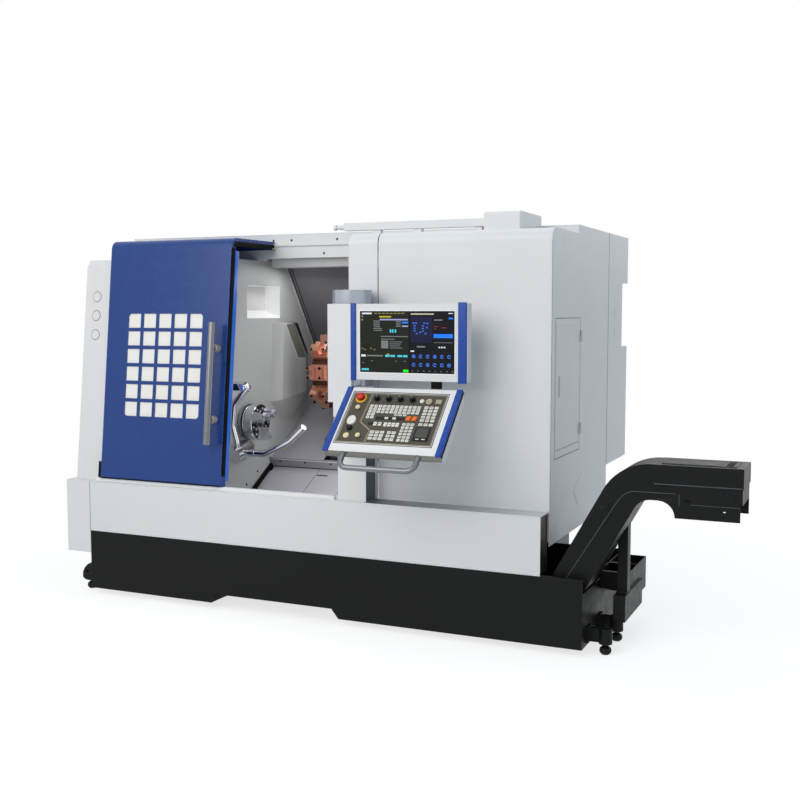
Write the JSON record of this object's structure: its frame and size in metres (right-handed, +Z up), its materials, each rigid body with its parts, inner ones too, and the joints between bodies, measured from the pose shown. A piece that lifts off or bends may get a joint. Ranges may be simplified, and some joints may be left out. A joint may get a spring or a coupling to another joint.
{
  "type": "cnc turning lathe",
  "caption": "Slant-bed turning centre with a sliding windowed door, chucked spindle, tool turret, swivelling operator pendant and inclined chip conveyor.",
  "frame": {"origin": "middle of the machine's outline at floor level, under the levelling feet", "axes": "+X along the spindle axis towards the chip conveyor, +Y from the operator's side to the back, +Z up"},
  "size_m": [3.615, 2.1604, 2.04],
  "materials": {
    "white_paint": "satin",
    "grey_paint": "satin",
    "dark_paint": "satin",
    "black_paint": "satin",
    "cast_iron": "matte",
    "steel": "satin",
    "chrome": "polished",
    "blue_paint": "gloss",
    "window": "gloss",
    "rubber": "matte",
    "copper_brown": "satin",
    "screen": "gloss",
    "key_plastic": "matte",
    "red_plastic": "gloss",
    "black_plastic": "satin",
    "ivory_plastic": "satin"
  },
  "bodies": {
    "frame": {"base_tray": "black_paint", "levelling_feet": "black_paint", "bed_casting": "cast_iron", "bed_rails": "steel", "headstock_housing": "cast_iron", "spindle_bearings": "steel", "front_apron": "white_paint", "door_lower_rail": "steel", "left_end_cover": "white_paint", "roof_panel": "white_paint", "header_beam": "white_paint", "work_lamp": "grey_paint", "centre_pillar": "white_paint", "right_front_cover": "white_paint", "right_side_panel": "white_paint", "rear_cover": "white_paint", "electrical_cabinet": "white_paint", "headstock_wall": "grey_paint", "way_cover_fixed": "dark_paint", "chamber_back_wall": "dark_paint", "chip_pan": "dark_paint", "roof_duct": "steel", "roof_box": "white_paint", "pendant_column": "white_paint", "swivel_post": "chrome", "conveyor_casing": "black_paint", "conveyor_leg": "black_paint", "coolant_tank": "black_paint", "setter_bracket": "steel"},
    "door": {"door_panel": "blue_paint", "door_window": "window", "door_seal": "rubber", "door_handle": "chrome"},
    "spindle": {"spindle": "steel", "chuck_body": "chrome"},
    "jaw_1": {"jaw_1": "steel"},
    "jaw_2": {"jaw_2": "steel"},
    "jaw_3": {"jaw_3": "steel"},
    "setter": {"setter_arm": "chrome"},
    "cover_a": {"way_cover_a": "dark_paint"},
    "cover_b": {"way_cover_b": "dark_paint"},
    "carriage": {"saddle": "cast_iron", "saddle_cover": "dark_paint"},
    "slide": {"cross_slide": "cast_iron"},
    "turret": {"turret_disc": "copper_brown", "tool_holders": "copper_brown"},
    "pendant": {"pendant_housing": "white_paint", "monitor_screen": "screen", "control_desk": "white_paint", "key_panel": "key_plastic", "grab_handle": "chrome"},
    "stop_button": {"emergency_stop": "red_plastic"},
    "switch_1": {"rotary_switch_1": "black_plastic"},
    "switch_2": {"rotary_switch_2": "black_plastic"},
    "switch_3": {"rotary_switch_3": "black_plastic"},
    "switch_4": {"rotary_switch_4": "black_plastic"},
    "button_1": {"push_button_1": "ivory_plastic"},
    "button_2": {"push_button_2": "ivory_plastic"},
    "side_door": {"side_access_door": "white_paint"},
    "cabinet_door": {"electrical_door": "white_paint"}
  },
  "joints": [
    {"name": "door_slide", "type": "slide", "parent": "frame", "child": "door", "axis": [1, 0, 0], "range_m": [0, 0.668]},
    {"name": "spindle_spin", "type": "hinge", "parent": "frame", "child": "spindle", "pos_m": [-1.1875, -0.20206, 0.95], "axis": [1, 0, 0], "continuous": true},
    {"name": "jaw_1_slide", "type": "slide", "parent": "spindle", "child": "jaw_1", "axis": [0, 0.8192, 0.5736], "range_m": [-0.004, 0.004]},
    {"name": "jaw_2_slide", "type": "slide", "parent": "spindle", "child": "jaw_2", "axis": [0, -0.9063, 0.4226], "range_m": [-0.004, 0.004]},
    {"name": "jaw_3_slide", "type": "slide", "parent": "spindle", "child": "jaw_3", "axis": [0, 0.0872, -0.9962], "range_m": [-0.004, 0.004]},
    {"name": "setter_swing", "type": "hinge", "parent": "frame", "child": "setter", "pos_m": [-0.8695, -0.34106, 0.797], "axis": [0, 0.9659, 0.2588], "range_deg": [0, 50]},
    {"name": "carriage_slide", "type": "slide", "parent": "frame", "child": "carriage", "axis": [1, 0, 0], "range_m": [-0.06, 0.4]},
    {"name": "cover_a_slide", "type": "slide", "parent": "frame", "child": "cover_a", "axis": [1, 0, 0], "range_m": [-0.02, 0.13334]},
    {"name": "cover_b_slide", "type": "slide", "parent": "frame", "child": "cover_b", "axis": [1, 0, 0], "range_m": [-0.04, 0.26667]},
    {"name": "cross_slide_travel", "type": "slide", "parent": "carriage", "child": "slide", "axis": [0, 0.866, 0.5], "range_m": [-0.28, 0.02]},
    {"name": "turret_index", "type": "hinge", "parent": "slide", "child": "turret", "pos_m": [-0.6035, 0.25694, 1.215], "axis": [1, 0, 0], "continuous": true},
    {"name": "pendant_swivel", "type": "hinge", "parent": "frame", "child": "pendant", "pos_m": [-0.0335, -0.63206, 1.3], "axis": [0, 0, 1], "range_deg": [-60, 0]},
    {"name": "stop_press", "type": "slide", "parent": "pendant", "child": "stop_button", "axis": [0, 0.7071, -0.7071], "range_m": [0, 0.004], "stiffness_N_per_m": 600},
    {"name": "switch_1_turn", "type": "hinge", "parent": "pendant", "child": "switch_1", "pos_m": [0.17948, -0.79935, 1.15771], "axis": [0, -0.7071, 0.7071], "range_deg": [-120, 120]},
    {"name": "switch_2_turn", "type": "hinge", "parent": "pendant", "child": "switch_2", "pos_m": [0.23949, -0.79935, 1.15771], "axis": [0, -0.7071, 0.7071], "range_deg": [-120, 120]},
    {"name": "switch_3_turn", "type": "hinge", "parent": "pendant", "child": "switch_3", "pos_m": [0.2995, -0.79935, 1.15771], "axis": [0, -0.7071, 0.7071], "range_deg": [-120, 120]},
    {"name": "switch_4_turn", "type": "hinge", "parent": "pendant", "child": "switch_4", "pos_m": [0.35951, -0.79935, 1.15771], "axis": [0, -0.7071, 0.7071], "range_deg": [-120, 120]},
    {"name": "button_1_press", "type": "slide", "parent": "pendant", "child": "button_1", "axis": [0, 0.7071, -0.7071], "range_m": [0, 0.0025], "stiffness_N_per_m": 500},
    {"name": "button_2_press", "type": "slide", "parent": "pendant", "child": "button_2", "axis": [0, 0.7071, -0.7071], "range_m": [0, 0.0025], "stiffness_N_per_m": 500},
    {"name": "side_door_hinge", "type": "hinge", "parent": "frame", "child": "side_door", "pos_m": [0.9398, -0.00206, 1.2], "axis": [0, 0, 1], "range_deg": [0, 110]},
    {"name": "cabinet_door_hinge", "type": "hinge", "parent": "frame", "child": "cabinet_door", "pos_m": [0.6765, 1.07424, 1.35], "axis": [0, 0, 1], "range_deg": [0, 110]}
  ],
  "couplings": [
    {"joint": "jaw_2_slide", "follows": "jaw_1_slide", "ratio": 1},
    {"joint": "jaw_3_slide", "follows": "jaw_1_slide", "ratio": 1},
    {"joint": "cover_a_slide", "follows": "carriage_slide", "ratio": 0.33333},
    {"joint": "cover_b_slide", "follows": "carriage_slide", "ratio": 0.66667}
  ]
}
